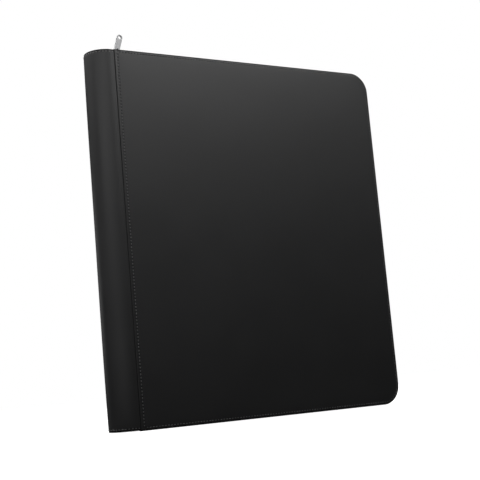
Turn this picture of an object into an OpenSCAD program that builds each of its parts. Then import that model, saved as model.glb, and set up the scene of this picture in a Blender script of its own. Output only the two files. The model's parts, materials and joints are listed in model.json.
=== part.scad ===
// Zip-round trading card binder, standing on its lower edges.
// +X runs from the spine to the fore edge, the front cover faces -Y, +Z is up.
// The origin is at the middle of the footprint, on the surface the binder stands on.

/* [Case] */
// Height of the covers
case_h = 350; // [340:1:372]
// Spine seam to fore edge
cover_w = 293; // [282:1:320]
// Thickness over both covers
case_t = 38; // [38:0.5:42]
// Rounding of the two fore-edge corners, seen from the front
corner_r = 20; // [14:1:26]
// Rounding of the outer edge of each cover
edge_r = 2; // [1:0.1:2.4]

/* [Cover layers] */
// Faux leather skin
skin_t = 1.2; // [0.8:0.1:1.4]
// Padding under the skin
foam_t = 1.3; // [0.8:0.1:1.6]
// Stiffener board
board_t = 2.2; // [1.6:0.1:2.4]
// Inner lining
lining_t = 0.4; // [0.3:0.1:0.5]

/* [Spine] */
// Outer radius of the wrap-round spine
spine_r = 18.3; // [18:0.1:18.6]
// Flat between the seam and the start of the curve
spine_flat = 3.1; // [2:0.1:4]
// How far the spine stops short of the covers at each end
spine_step = 1; // [0.5:0.1:2]

/* [Pages] */
// Number of pocket pages (an even number)
pages = 20; // [10:2:20]
// Distance between neighbouring pages
page_pitch = 1.3; // [1.25:0.01:1.34]
// Width of one card pocket
pocket_w = 72; // [68:1:74]
// Height of one card pocket
pocket_h = 98; // [93:1:100]
// Width of the plain margin at the binding
page_margin = 19; // [15:1:22]
// Thickness of the backing sheet
sheet_t = 0.3; // [0.2:0.05:0.35]
// Thickness of the clear pocket film
film_t = 0.12; // [0.1:0.01:0.15]

/* [Zip] */
// Distance from the cover edge to the zip tape
tape_inset = 2.6; // [2:0.1:4]
// Thickness of the tape
tape_t = 0.7; // [0.5:0.1:0.9]
// Height of the row of teeth, across the tape
chain_t = 2.2; // [1.8:0.1:2.4]
// Length of the slider
slider_l = 10; // [8:0.5:11]
// Distance from the seam to the middle of the slider
slider_at = 9.8; // [9.6:0.1:12]

/* [Pull] */
// Lean of the pull towards the fore edge, in degrees
pull_lean = 16.4; // [0:0.1:20]
// Length of the link, between the middles of its end bars
link_l = 5.6; // [5.4:0.1:6]
// Wire diameter of the link
link_wire = 1.2; // [1:0.1:1.3]
// Distance between the two holes of the pull tab
tab_l = 12.9; // [10:0.1:25]
// Width of the pull tab
tab_w = 5.7; // [5:0.1:6.4]
// Thickness of the pull tab
tab_t = 1.8; // [1.2:0.1:1.9]
// Radius of the open hole at the tip
tab_hole_r = 1.65; // [1.2:0.05:1.8]

/* [Hidden] */
$fn = 96;

fit = 0.1;                          // gap round the layers inside a skin
half_t = case_t / 2;
cover_t = skin_t + foam_t + board_t + lining_t;
total_w = cover_w + spine_flat + spine_r;
seam_x = -total_w / 2 + spine_flat + spine_r;
fore_x = seam_x + cover_w;

// Stitching: threads lie in shallow grooves, flush with the skin
thread_w = 0.5;
thread_d = 0.28;
groove_w = 0.7;
groove_d = 0.3;
edge_stitch = 3;                    // stitch line to cover edge
seam_stitch = 3.6;                  // stitch line to seam
hem_stitch = 3.4;                   // stitch line to the end of the spine

// Spine
spine_gap = 0.3;                    // between the spine skin and the covers
spine_board_t = 1.3;
arc_x = seam_x - spine_flat;        // centre of the spine's curve
spine_z0 = spine_step;
spine_z1 = case_h - spine_step;
spine_lining_r = spine_r - skin_t - spine_board_t - 2 * fit;
filler_r = spine_lining_r - lining_t - fit;

// Pages
page_w = page_margin + 3 * pocket_w + 5;
page_h = 3 * pocket_h + 12;
page_z0 = (case_h - page_h) / 2;
hinge_x = seam_x + 5;               // line on which every page turns
stub_gap = 0.3;                     // from that line to the page, and to its margin
film_gap = 0.05;
block_x0 = seam_x - 10.5;
block_x1 = seam_x + 1;
block_half = 13.2;
slot_w = 0.5;
slot_depth = 10;
margin_t = 0.4;

// Zip
chain_gap = 0.6;                    // half the gap between the two rows of teeth
chain_w = 2.4;                      // depth of one row, towards its cover
chain_mid = tape_inset + tape_t / 2;
chain_z = case_h - chain_mid;
tape_start = 2.5;                   // seam to the zip's first tooth
stop_l = 1.8;
flange_w = 6.4;
flange_t = 0.4;
plate_t = 1.2;
plate_half = chain_t / 2 + 0.2;     // chain centre to a slider plate
slider_w = 8.8;
lip_w = 0.5;
lip_half = 0.6;                     // slot left for the tape
slider_x = seam_x + slider_at;
slider_top = chain_z + plate_half + plate_t;
bail_l = 8;
bail_w = 1.6;
bail_leg = 1.1;
bail_rise = 2.4;
bail_t = 0.9;

// Pull
link_half = 2.3;                    // half the width of the link, to the wire's centre
link_bend = 1;
link_z = slider_top + 1.5;
eye_r = 1.9;
eye_hole_r = 0.9;

function page_name(i) = str("page_", i < 10 ? "0" : "", i);
function page_y(i) = (i - (pages + 1) / 2) * page_pitch;

// Extrudes a drawing in the X-Z plane from y0 to y1
module slab(y0, y1) {
    translate([0, y1, 0]) rotate([90, 0, 0]) linear_extrude(y1 - y0) children();
}

// Cover outline set in from the three free edges, cut off straight at x0
module outline(inset, x0) {
    r = corner_r - inset;
    x1 = fore_x - inset;
    z0 = inset;
    z1 = case_h - inset;
    translate([x0, z0]) square([x1 - r - x0, z1 - z0]);
    translate([x1 - r - 1, z0 + r]) square([r + 1, z1 - z0 - 2 * r]);
    for (z = [z0 + r, z1 - r]) translate([x1 - r, z]) circle(r = r);
}

// U-shaped band along the three free edges, open at the spine
module edge_band(inset, width, x0) {
    difference() {
        outline(inset, x0);
        difference() {
            outline(inset + width, x0 - 1);
            translate([x0 - 5, 0]) square([4, case_h]);
        }
    }
}

module rounded_rect(w, h, r) {
    square([w - 2 * r, h], center = true);
    square([w, h - 2 * r], center = true);
    for (x = [-1, 1], y = [-1, 1]) translate([x * (w / 2 - r), y * (h / 2 - r)]) circle(r = r);
}

// Full-thickness front cover with its outer edges rounded
module cover_solid() {
    r = corner_r;
    len = fore_x - r - seam_x;
    translate([seam_x, -half_t, 0]) {
        rotate([90, 0, 90]) linear_extrude(len) {
            translate([0, edge_r]) square([cover_t, case_h - 2 * edge_r]);
            translate([edge_r, 0]) square([cover_t - edge_r, case_h]);
            for (z = [edge_r, case_h - edge_r]) translate([edge_r, z]) circle(r = edge_r);
        }
        translate([len, 0, r]) linear_extrude(case_h - 2 * r) rim_profile();
        for (z = [r, case_h - r])
            translate([len, 0, z]) rotate([-90, 0, 0])
                rotate([0, 0, z > r ? -90 : 0]) rotate_extrude(angle = 90) rim_profile();
    }
}

// Section through the rounded rim, out to the cover's edge
module rim_profile() {
    square([corner_r - edge_r, cover_t]);
    translate([0, edge_r]) square([corner_r, cover_t - edge_r]);
    translate([corner_r - edge_r, edge_r]) circle(r = edge_r);
}

// Skin: a shallow tray whose walls are the folded edges, with the stitch grooves
module cover_skin() {
    difference() {
        cover_solid();
        slab(-half_t + skin_t, -half_t + cover_t + 1) outline(skin_t, seam_x + skin_t);
        slab(-half_t - 1, -half_t + groove_d) {
            edge_band(edge_stitch - groove_w / 2, groove_w, seam_x + 5);
            translate([seam_x + seam_stitch - groove_w / 2, edge_stitch])
                square([groove_w, case_h - 2 * edge_stitch]);
        }
    }
}

// One flat layer inside the skin, between two depths from the outer face
module cover_layer(d0, d1) {
    slab(-half_t + d0, -half_t + d1) outline(skin_t + fit, seam_x + skin_t + fit);
}

module edge_thread() {
    slab(-half_t, -half_t + thread_d)
        edge_band(edge_stitch - thread_w / 2, thread_w, seam_x + 5.2);
}

module seam_thread() {
    slab(-half_t, -half_t + thread_d)
        translate([seam_x + seam_stitch - thread_w / 2, edge_stitch + 0.2])
            square([thread_w, case_h - 2 * edge_stitch - 0.4]);
}

// Tape: a flange sewn to the cover's inner face and a wall out to the teeth
module zip_tape() {
    inner = -half_t + cover_t;
    slab(inner, inner + flange_t) edge_band(tape_inset, flange_w, seam_x + tape_start);
    slab(inner + flange_t, -chain_gap - chain_w) edge_band(tape_inset, tape_t, seam_x + tape_start);
}

module zip_teeth() {
    slab(-chain_gap - chain_w, -chain_gap)
        edge_band(chain_mid - chain_t / 2, chain_t, seam_x + tape_start + stop_l);
}

module zip_stops() {
    for (z = [chain_mid, chain_z])
        translate([seam_x + tape_start, -chain_gap - chain_w, z - chain_t / 2])
            cube([stop_l - fit, chain_w, chain_t]);
}

// Spine section: straight sides at the seam and a half round, r being the outer radius
module spine_outline(r, x1) {
    translate([arc_x, 0]) circle(r = r);
    translate([arc_x, -r]) square([x1 - arc_x, 2 * r]);
}

module spine_shell(r, t, z0, z1) {
    x1 = seam_x - spine_gap;
    translate([0, 0, z0]) linear_extrude(z1 - z0) intersection() {
        difference() {
            spine_outline(r, x1);
            spine_outline(r - t, x1 + 1);
        }
        translate([arc_x - r - 1, -r - 1]) square([x1 - arc_x + r + 1, 2 * r + 2]);
    }
}

module spine_skin() color("#1b1b1c") difference() {
    spine_shell(spine_r, skin_t, spine_z0, spine_z1);
    for (z = [spine_z0 + hem_stitch, spine_z1 - hem_stitch])
        spine_shell(spine_r + 1, 1 + groove_d, z - groove_w / 2, z + groove_w / 2);
}

module spine_hem_thread() color("#2b2b2c")
    for (z = [spine_z0 + hem_stitch, spine_z1 - hem_stitch])
        spine_shell(spine_r, thread_d, z - thread_w / 2, z + thread_w / 2);

module spine_board() color("#77736b")
    spine_shell(spine_r - skin_t - fit, spine_board_t, spine_z0 + 1.2, spine_z1 - 1.2);

module spine_lining() color("#19191b")
    spine_shell(spine_lining_r, lining_t, spine_z0 + 0.2, spine_z1 - 0.2);

// Segment that fills the curve behind the binding block
module spine_filler() color("#3a3a3a")
    translate([0, 0, page_z0]) linear_extrude(page_h) intersection() {
        translate([arc_x, 0]) circle(r = filler_r);
        translate([arc_x - filler_r - 1, -block_half])
            square([block_x0 - fit - arc_x + filler_r + 1, 2 * block_half]);
    }

// Comb that grips the margin of every page
module binding_block() color("#202022")
    difference() {
        translate([block_x0, -block_half, page_z0])
            cube([block_x1 - block_x0, 2 * block_half, page_h]);
        for (i = [1:pages])
            translate([block_x1 - slot_depth, page_y(i) - slot_w / 2, page_z0 - 1])
                cube([slot_depth + 1, slot_w, page_h + 2]);
        for (z = binding_holes())
            translate([(block_x0 + block_x1) / 2, -block_half - 1, z])
                rotate([-90, 0, 0]) cylinder(r = 0.5, h = 2 * block_half + 2, $fn = 24);
    }

function binding_holes() = [for (k = [0:6]) page_z0 + 15 + k * (page_h - 30) / 6];

// The part of each page that stays fixed in the binding
module page_margins() color("#141416")
    for (i = [1:pages]) difference() {
        translate([block_x1 - slot_depth + fit, page_y(i) - margin_t / 2, page_z0 + 1])
            cube([hinge_x - stub_gap - block_x1 + slot_depth - fit, margin_t, page_h - 2]);
        for (z = binding_holes())
            translate([(block_x0 + block_x1) / 2, page_y(i) - 1, z])
                rotate([-90, 0, 0]) cylinder(r = 0.5, h = 2, $fn = 24);
    }

// Sewing thread through the block and every margin
module binding_thread() color("#d8d5cc")
    for (z = binding_holes())
        translate([(block_x0 + block_x1) / 2, -block_half, z])
            rotate([-90, 0, 0]) cylinder(r = 0.4, h = 2 * block_half, $fn = 24);

module zip_end_tab(z) color("#1a1a1b")
    translate([seam_x - 12, -6, z - 0.6]) cube([13.8, 12, 1.2]);

// One page: a backing sheet with clear pocket film on both sides
module page(i) color("#17171a")
    translate([0, page_y(i), 0]) {
        slab(-sheet_t / 2, sheet_t / 2) page_outline(stub_gap, page_w, 0, 5);
        for (side = [-1, 1]) {
            y = side * (sheet_t / 2 + film_gap + film_t / 2);
            slab(y - film_t / 2, y + film_t / 2) page_outline(page_margin, page_w - 2, 2, 3);
        }
    }

module page_outline(x0, x1, inset, r) {
    z0 = page_z0 + inset;
    h = page_h - 2 * inset;
    translate([hinge_x, 0]) {
        translate([x0, z0]) square([x1 - r - x0, h]);
        translate([x1 - r - 1, z0 + r]) square([r + 1, h - 2 * r]);
        for (z = [z0 + r, z0 + h - r]) translate([x1 - r, z]) circle(r = r);
    }
}

// Two plates joined by a narrow post between the rows of teeth, with lips on the back side
module slider_body() color("#8f9194") translate([slider_x, 0, chain_z]) {
    for (s = [-1, 1])
        translate([0, 0, s * (plate_half + plate_t / 2) - plate_t / 2])
            linear_extrude(plate_t) rounded_rect(slider_l, slider_w, 2);
    translate([-1.5, -0.4, -plate_half]) cube([3, 0.8, 2 * plate_half]);
    for (s = [-1, 1])
        translate([-slider_l / 2 + 2, slider_w / 2 - lip_w, s > 0 ? lip_half : -plate_half])
            cube([slider_l - 4, lip_w, plate_half - lip_half]);
}

// Bridge on the slider that holds the link
module slider_bail() color("#9a9c9f") translate([slider_x, bail_w / 2, slider_top])
    rotate([90, 0, 0]) linear_extrude(bail_w) difference() {
        union() {
            translate([-bail_l / 2, 0]) square([bail_l, bail_rise]);
            translate([-bail_l / 2 + bail_t, bail_rise]) square([bail_l - 2 * bail_t, bail_t]);
            for (x = [-1, 1]) translate([x * (bail_l / 2 - bail_t), bail_rise]) circle(r = bail_t);
        }
        translate([-bail_l / 2 + bail_leg, -1]) square([bail_l - 2 * bail_leg, bail_rise + 1]);
    }

// Places its children with the link's lower bar at the origin and the pull along +Z
module pull_frame() {
    translate([slider_x, 0, link_z]) rotate([0, pull_lean, 0]) children();
}

module pull_link() color("#9a9c9f") pull_frame() {
    r = link_wire / 2;
    flat = link_half - link_bend;
    for (z = [0, link_l])
        translate([0, -flat, z]) rotate([-90, 0, 0]) cylinder(r = r, h = 2 * flat);
    for (y = [-link_half, link_half])
        translate([0, y, link_bend]) cylinder(r = r, h = link_l - 2 * link_bend);
    for (q = [0:3])
        translate([0, (q == 0 || q == 3 ? 1 : -1) * flat, q < 2 ? link_l - link_bend : link_bend])
            rotate([90, 0, 90]) rotate([0, 0, 90 * q])
                rotate_extrude(angle = 90) translate([link_bend, 0]) circle(r = r);
}

module pull_tab() color("#a8aaad") pull_frame()
    translate([0, 0, link_l]) slab(-tab_t / 2, tab_t / 2) difference() {
        union() {
            circle(r = eye_r);
            translate([0, tab_l]) circle(r = tab_w / 2);
            translate([-tab_w / 2, 3]) square([tab_w, tab_l - 3]);
            polygon([[-eye_r, 0], [eye_r, 0], [tab_w / 2, 3], [-tab_w / 2, 3]]);
        }
        circle(r = eye_hole_r);
        translate([0, tab_l]) circle(r = tab_hole_r);
    }

module front_skin() color("#1b1b1c") cover_skin();
module front_padding() color("#4a4a4c") cover_layer(skin_t, skin_t + foam_t);
module front_board() color("#77736b") cover_layer(skin_t + foam_t, skin_t + foam_t + board_t);
module front_lining() color("#19191b") cover_layer(cover_t - lining_t, cover_t);
module front_edge_thread() color("#2b2b2c") edge_thread();
module front_seam_thread() color("#2b2b2c") seam_thread();
module front_zip_tape() color("#161617") zip_tape();
module front_zip_teeth() color("#101011") zip_teeth();
module front_zip_stops() color("#8f9194") zip_stops();

module back_skin() mirror([0, 1, 0]) front_skin();
module back_padding() mirror([0, 1, 0]) front_padding();
module back_board() mirror([0, 1, 0]) front_board();
module back_lining() mirror([0, 1, 0]) front_lining();
module back_edge_thread() mirror([0, 1, 0]) front_edge_thread();
module back_seam_thread() mirror([0, 1, 0]) front_seam_thread();
module back_zip_tape() mirror([0, 1, 0]) front_zip_tape();
module back_zip_teeth() mirror([0, 1, 0]) front_zip_teeth();
module back_zip_stops() mirror([0, 1, 0]) front_zip_stops();

spine_skin();
spine_board();
spine_lining();
spine_filler();
spine_hem_thread();
binding_block();
binding_thread();
page_margins();
zip_end_tab(chain_z);  // zip_end_tab_top
zip_end_tab(chain_mid);  // zip_end_tab_bottom
front_skin();
front_padding();
front_board();
front_lining();
front_edge_thread();
front_seam_thread();
front_zip_tape();
front_zip_teeth();
front_zip_stops();
back_skin();
back_padding();
back_board();
back_lining();
back_edge_thread();
back_seam_thread();
back_zip_tape();
back_zip_teeth();
back_zip_stops();
slider_body();
slider_bail();
pull_link();
pull_tab();
for (i = [1:pages]) page(i);
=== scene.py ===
import json
import math

import bpy
import numpy as np
from mathutils import Euler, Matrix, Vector, geometry

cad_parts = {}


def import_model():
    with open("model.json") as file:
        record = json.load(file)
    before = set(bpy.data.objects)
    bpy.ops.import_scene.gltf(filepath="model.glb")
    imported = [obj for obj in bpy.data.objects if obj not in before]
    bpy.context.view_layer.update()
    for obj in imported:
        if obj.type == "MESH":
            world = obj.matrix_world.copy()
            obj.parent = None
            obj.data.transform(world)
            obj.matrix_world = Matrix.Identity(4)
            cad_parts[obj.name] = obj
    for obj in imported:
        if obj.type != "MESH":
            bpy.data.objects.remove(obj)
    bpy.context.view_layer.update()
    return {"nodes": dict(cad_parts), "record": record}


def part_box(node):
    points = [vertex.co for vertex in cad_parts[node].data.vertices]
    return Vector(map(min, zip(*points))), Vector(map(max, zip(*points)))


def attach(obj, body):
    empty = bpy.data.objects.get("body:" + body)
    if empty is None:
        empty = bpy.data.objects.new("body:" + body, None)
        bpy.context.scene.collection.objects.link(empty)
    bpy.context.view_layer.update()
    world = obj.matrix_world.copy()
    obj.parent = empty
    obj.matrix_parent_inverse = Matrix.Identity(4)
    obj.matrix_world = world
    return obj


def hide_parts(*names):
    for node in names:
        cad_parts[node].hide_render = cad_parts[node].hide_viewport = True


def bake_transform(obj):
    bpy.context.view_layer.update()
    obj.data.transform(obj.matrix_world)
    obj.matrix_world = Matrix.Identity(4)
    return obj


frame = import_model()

# ---------------------------------------------------------------- frame of the binder
# Shapes are worked out in millimetres as (x from the seam, depth in from the cover's outer
# face, height), and turned into metres in the CAD frame by to_frame().
MM = 0.001
FRONT, BACK = -1, 1

skin_lo, skin_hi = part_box("front_skin")
spine_lo, spine_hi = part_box("spine_skin")
tape_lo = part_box("front_zip_tape")[0]
slider_lo, slider_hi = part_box("slider_body")
bail_lo, bail_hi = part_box("slider_bail")

SEAM = skin_lo.x  # metres
HALF_T = -skin_lo.y  # metres
COVER_W = (skin_hi.x - skin_lo.x) / MM
COVER_H = (skin_hi.z - skin_lo.z) / MM
SPINE_R = spine_hi.y / MM
SPINE_REACH = (SEAM - spine_lo.x) / MM  # seam to the outermost point of the spine
ARC_X = SPINE_R - SPINE_REACH  # centre of the spine's curve, from the seam
SPINE_Z0, SPINE_Z1 = spine_lo.z / MM, spine_hi.z / MM
SPINE_GAP = 0.15  # between the two leathers at a seam
SPINE_WALL = 3.1  # skin, board and lining together
CORNER_R = 20.0
LINE_STEP = 0.6  # between points along the edges of the covers
LEATHER_T, CLOTH_T = 0.8, 0.35
STITCH_PITCH = 3.0
EDGE_STITCH = 2.8  # stitch line to the cover's edge
EDGE_ROW_END = 4.5  # its first and last stitches to the seam
SPINE_BULGE = 0.6  # how far the round of the spine swells at mid height
SPINE_LIP = 0.2  # how far it stands out along the two seams
SPINE_HEMS = (SPINE_Z0 - 0.3, SPINE_Z1 + 0.6)  # its folded ends, over the ends of the board
SEAM_STITCH = 3.1  # stitch line to the seam
SEAM_ROW_END = 3.0  # its two ends to the ends of the cover
HEM_STITCH = 2.2  # stitch line to the end of the spine
TAPE_INSET = tape_lo.z / MM
TAPE_START = (tape_lo.x - SEAM) / MM
CHAIN_MID = TAPE_INSET + 0.35  # middle of the row of teeth, from the edge
TEETH_PITCH = 2.0
TAPE_STITCH, TAPE_BED = 6.6, 5.5  # the tape's stitch line: to the edge, and depth
TAPE_ROW_END = 2.0
TAPE_EASE = 30  # the tape's ripples fade out over this length
LINING_INSET, LINING_DEPTH = 5.0, 5.0


def to_frame(points, side):
    """Millimetre points (from the seam, in from the outer face, up) as metres in the frame."""
    x, depth, z = np.asarray(points, float).reshape(-1, 3).T
    return np.column_stack([SEAM + x * MM, side * (HALF_T - depth * MM), z * MM])


def smooth_step(t):
    t = np.clip(t, 0, 1)
    return t * t * (3 - 2 * t)


# ---------------------------------------------------------------- mesh helpers
def grid_faces(rows, cols, wrap_rows=False, wrap_cols=False):
    """Quads of a rows x cols grid of points, stored row by row."""
    r = np.arange(rows if wrap_rows else rows - 1)
    c = np.arange(cols if wrap_cols else cols - 1)
    r, c = [a.ravel() for a in np.meshgrid(r, c, indexing="ij")]
    r1, c1 = (r + 1) % rows, (c + 1) % cols
    return np.column_stack([r * cols + c, r * cols + c1, r1 * cols + c1, r1 * cols + c])


def stack_faces(rows, cols):
    """Quads round a stack of closed rings of points, and a face on the first and last ring."""
    ends = [list(range(cols))[::-1], [(rows - 1) * cols + i for i in range(cols)]]
    return grid_faces(rows, cols, wrap_cols=True).tolist() + ends


def ribbon_faces(rows, cols):
    """Quads along a closed ribbon of rows, and a face across each of its two ends."""
    ends = [[k * cols for k in range(rows)], [k * cols + cols - 1 for k in range(rows)][::-1]]
    return grid_faces(rows, cols, wrap_rows=True).tolist() + ends


def make_piece(name, points, faces, material, body, side=FRONT, smooth=True):
    """A mesh piece of points in metres that rides on a CAD body. side turns the faces outward."""
    mesh = bpy.data.meshes.new(name)
    faces = [f[::-1] if side == BACK else f for f in map(list, faces)]
    mesh.from_pydata(np.asarray(points, float).tolist(), [], faces)
    mesh.validate()
    mesh.polygons.foreach_set("use_smooth", [smooth] * len(mesh.polygons))
    mesh.materials.append(material)
    obj = bpy.data.objects.new(name, mesh)
    bpy.context.scene.collection.objects.link(obj)
    if body:
        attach(obj, body)
    return obj


def thicken(obj, thickness, inward=True):
    solid = obj.modifiers.new("thickness", "SOLIDIFY")
    solid.thickness = thickness * MM
    solid.offset = -1 if inward else 0
    solid.use_even_offset = False
    return obj


def soften(obj, width, segments=2, angle=40):
    """Rounds the sharp edges of a piece or of a CAD node."""
    bevel = obj.modifiers.new("edge", "BEVEL")
    bevel.width = width * MM
    bevel.segments = segments
    bevel.limit_method = "ANGLE"
    bevel.angle_limit = math.radians(angle)
    bevel.harden_normals = False
    return obj


def fill_outline(outline, step):
    """Triangles inside a closed 2-D outline, on its own points and a grid of the given step."""
    axes = [np.arange(a + step, b - step / 2, step) for a, b in zip(outline.min(0), outline.max(0))]
    inner = np.stack(np.meshgrid(*axes, indexing="ij"), axis=-1).reshape(-1, 2)
    gap = np.linalg.norm(inner[:, None] - outline[None], axis=2).min(1)
    points = np.vstack([outline, inner[gap > step * 0.45]])
    count = len(outline)
    edges = [(i, (i + 1) % count) for i in range(count)]
    found = geometry.delaunay_2d_cdt([Vector(p) for p in points], edges, [], 1, 1e-7)
    triangles = np.array([[found[3][i][0] for i in f] for f in found[2]])
    a, b, c = (points[triangles[:, k]] for k in range(3))
    area = (b - a)[:, 0] * (c - a)[:, 1] - (b - a)[:, 1] * (c - a)[:, 0]
    triangles[area < 0] = triangles[area < 0][:, ::-1]
    return points, triangles


def circle_points(radius, count, centre=(0, 0), start=0.0):
    a = start + np.arange(count) * 2 * math.pi / count
    return np.column_stack([centre[0] + radius * np.cos(a), centre[1] + radius * np.sin(a)])


def directions(path):
    """Unit vectors along a 2-D path and at right angles to it, at each of its points."""
    step = np.gradient(path, axis=0)
    step /= np.linalg.norm(step, axis=1)[:, None]
    return step, np.column_stack([-step[:, 1], step[:, 0]])


def tube_template(path, radius, sides=6, across=None):
    """A capped tube along a 2-D path of (along, up) points; its third axis is across."""
    path = np.asarray(path, float)
    normal = directions(path)[1]
    a = np.arange(sides) * 2 * math.pi / sides
    ring = path[:, None, :] + radius * np.cos(a)[None, :, None] * normal[:, None, :]
    wide = np.broadcast_to(radius * np.sin(a)[None, :, None], ring.shape[:2] + (1,))
    points = np.concatenate([ring, wide], axis=2).reshape(-1, 3)
    if across is not None:
        points[:, 2] += np.repeat(np.asarray(across, float), sides)
    return points, stack_faces(len(path), sides)


def place_many(template, origins, along, up, across):
    """Copies of a template, one at each origin with its own three axes."""
    points, faces = template
    placed = (origins[:, None] + points[None, :, 0:1] * along[:, None]
              + points[None, :, 1:2] * up[:, None] + points[None, :, 2:3] * across[:, None])
    count = len(points)
    all_faces = [[i + k * count for i in f] for k in range(len(origins)) for f in faces]
    return placed.reshape(-1, 3), all_faces


def merge(parts):
    """Several (points, faces) as one."""
    points, faces, start = [], [], 0
    for p, f in parts:
        points.append(np.asarray(p, float))
        faces += [[i + start for i in face] for face in f]
        start += len(p)
    return np.vstack(points), faces


# ---------------------------------------------------------------- outlines of the cover
START_EASE = 30.0  # a late start evens out over this length


def rim_line(inset, start=0.0, step=LINE_STEP):
    """(x, z) points set in from the bottom, fore and top edges, from the seam round to the seam."""
    straight = COVER_W - CORNER_R
    r = CORNER_R - inset
    nx = int(round(straight / step))
    nz = int(round((COVER_H - 2 * CORNER_R) / step))
    na = int(round(CORNER_R * math.pi / 2 / step))
    x = np.linspace(0, straight, nx, endpoint=False)
    x = np.maximum(x, start + x * (1 - start / START_EASE))
    z = np.linspace(CORNER_R, COVER_H - CORNER_R, nz, endpoint=False)
    a = np.linspace(-math.pi / 2, 0, na, endpoint=False)
    bottom = np.column_stack([x, np.full(nx, inset)])
    low_corner = np.column_stack([straight + r * np.cos(a), CORNER_R + r * np.sin(a)])
    fore = np.column_stack([np.full(nz, COVER_W - inset), z])
    half = np.vstack([bottom, low_corner])
    top = np.column_stack([half[::-1, 0], COVER_H - half[::-1, 1]])
    turn = [[COVER_W - inset, COVER_H - CORNER_R]]
    return np.vstack([half, fore, turn, top])


def seam_line(inset_x, inset_z, step=LINE_STEP):
    """(x, z) points down beside the seam, without their two ends."""
    n = int(round(COVER_H / step))
    z = np.linspace(COVER_H - inset_z, inset_z, n + 1)[1:-1]
    return np.column_stack([np.full(n - 1, inset_x), z])


def length_along(line):
    return np.concatenate([[0], np.cumsum(np.linalg.norm(np.diff(line, axis=0), axis=1))])


def at_lengths(line, wanted):
    """Points, and unit tangents, at given lengths along a line."""
    s = length_along(line)
    point = np.column_stack([np.interp(wanted, s, line[:, k]) for k in range(line.shape[1])])
    eps = 0.3
    ahead = np.column_stack([np.interp(wanted + eps, s, line[:, k]) for k in range(line.shape[1])])
    behind = np.column_stack([np.interp(wanted - eps, s, line[:, k]) for k in range(line.shape[1])])
    tangent = ahead - behind
    return point, tangent / np.linalg.norm(tangent, axis=1)[:, None]


def swell(x, z):
    """Slight unevenness of a padded panel, in mm, fading out at its edges."""
    wave = (np.sin(x / 41 + 0.7) * np.sin(z / 57 + 1.9) + 0.6 * np.sin(x / 23 + z / 31)
            + 0.4 * np.sin(x / 13 - z / 17 + 2.0))
    return 0.05 * wave


# ---------------------------------------------------------------- node material helpers
class Surface:
    """A node material, with short ways to add the nodes that its grain and wear are made of."""

    def __init__(self, name, colour, roughness, **sockets):
        self.material = bpy.data.materials.new(name)
        self.material.use_nodes = True
        self.nodes, self.links = self.material.node_tree.nodes, self.material.node_tree.links
        self.shader = self.nodes["Principled BSDF"]
        self.shader.inputs["Base Color"].default_value = (*colour, 1)
        self.shader.inputs["Roughness"].default_value = roughness
        for key, value in sockets.items():
            self.shader.inputs[key.replace("_", " ")].default_value = value

    def node(self, kind, output, vector=None, **sockets):
        """Adds a node, sets its sockets by number or by link, and returns the output asked for."""
        node = self.nodes.new("ShaderNode" + kind)
        if vector is not None:
            self.links.new(vector, node.inputs[0])
        for key, value in sockets.items():
            self.feed(node.inputs[key.replace("_", " ")], value)
        return node.outputs[output]

    def feed(self, socket, value):
        if isinstance(value, bpy.types.NodeSocket):
            self.links.new(value, socket)
        else:
            socket.default_value = value

    def set(self, name, value):
        self.feed(self.shader.inputs[name], value)

    def coords(self):
        return self.node("TexCoord", "Object")

    def noise(self, scale, detail=2.0, rough=0.5, stretch=None):
        """Noise in the object's own coordinates, drawn out where an axis has a scale under 1."""
        coords = self.coords()
        if stretch:
            coords = self.node("Mapping", "Vector", coords, Scale=stretch)
        return self.node("TexNoise", "Fac", coords, Scale=scale, Detail=detail, Roughness=rough)

    def remap(self, value, low, high, to_low, to_high):
        return self.node("MapRange", "Result", value, From_Min=low, From_Max=high, To_Min=to_low,
                         To_Max=to_high)

    def maths(self, operation, a, b=0):
        node = self.nodes.new("ShaderNodeMath")
        node.operation = operation
        self.feed(node.inputs[0], a)
        self.feed(node.inputs[1], b)
        return node.outputs["Value"]

    def mix(self, factor, first, second):
        """A colour from first to second; first is a colour or another node's."""
        node = self.nodes.new("ShaderNodeMix")
        node.data_type = "RGBA"
        for key, value in (("A", first), ("B", second)):
            self.feed(node.inputs[key], (*value, 1) if isinstance(value, tuple) else value)
        self.feed(node.inputs["Factor"], factor)
        return node.outputs["Result"]

    def cells(self, scale, smoothness=0):
        """Small cells, run together where a smoothness is given."""
        node = self.nodes.new("ShaderNodeTexVoronoi")
        node.inputs["Scale"].default_value = scale
        if smoothness:
            node.feature = "SMOOTH_F1"
            node.inputs["Smoothness"].default_value = smoothness
        self.feed(node.inputs["Vector"], self.coords())
        return node.outputs["Distance"]

    def attribute(self, name):
        node = self.nodes.new("ShaderNodeAttribute")
        node.attribute_name = name
        return node.outputs["Fac"]

    def bump(self, height, strength, distance):
        self.set("Normal", self.node("Bump", "Normal", Height=height, Strength=strength,
                                     Distance=distance * MM))


# ---------------------------------------------------------------- materials
WEAVE_PITCH = 0.0009  # metres between the threads of the lining
TWILL_PITCH = 0.0007  # and between the ribs of the zip tape
ZIGZAG = 0.0014  # width of one run of its herringbone
LEATHER_BLACK = (0.0135, 0.0135, 0.014)
# lighter end of the random blotches, and the colour of the painted highlight line inside the edges
LEATHER_BLOTCH_AND_PAINTED_HIGHLIGHT = (0.021, 0.021, 0.0215)
LEATHER_PAINTED_SHADE = (0.005, 0.005, 0.0054)  # painted shade: darker along the folded edges and in the stitch holes


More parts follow.
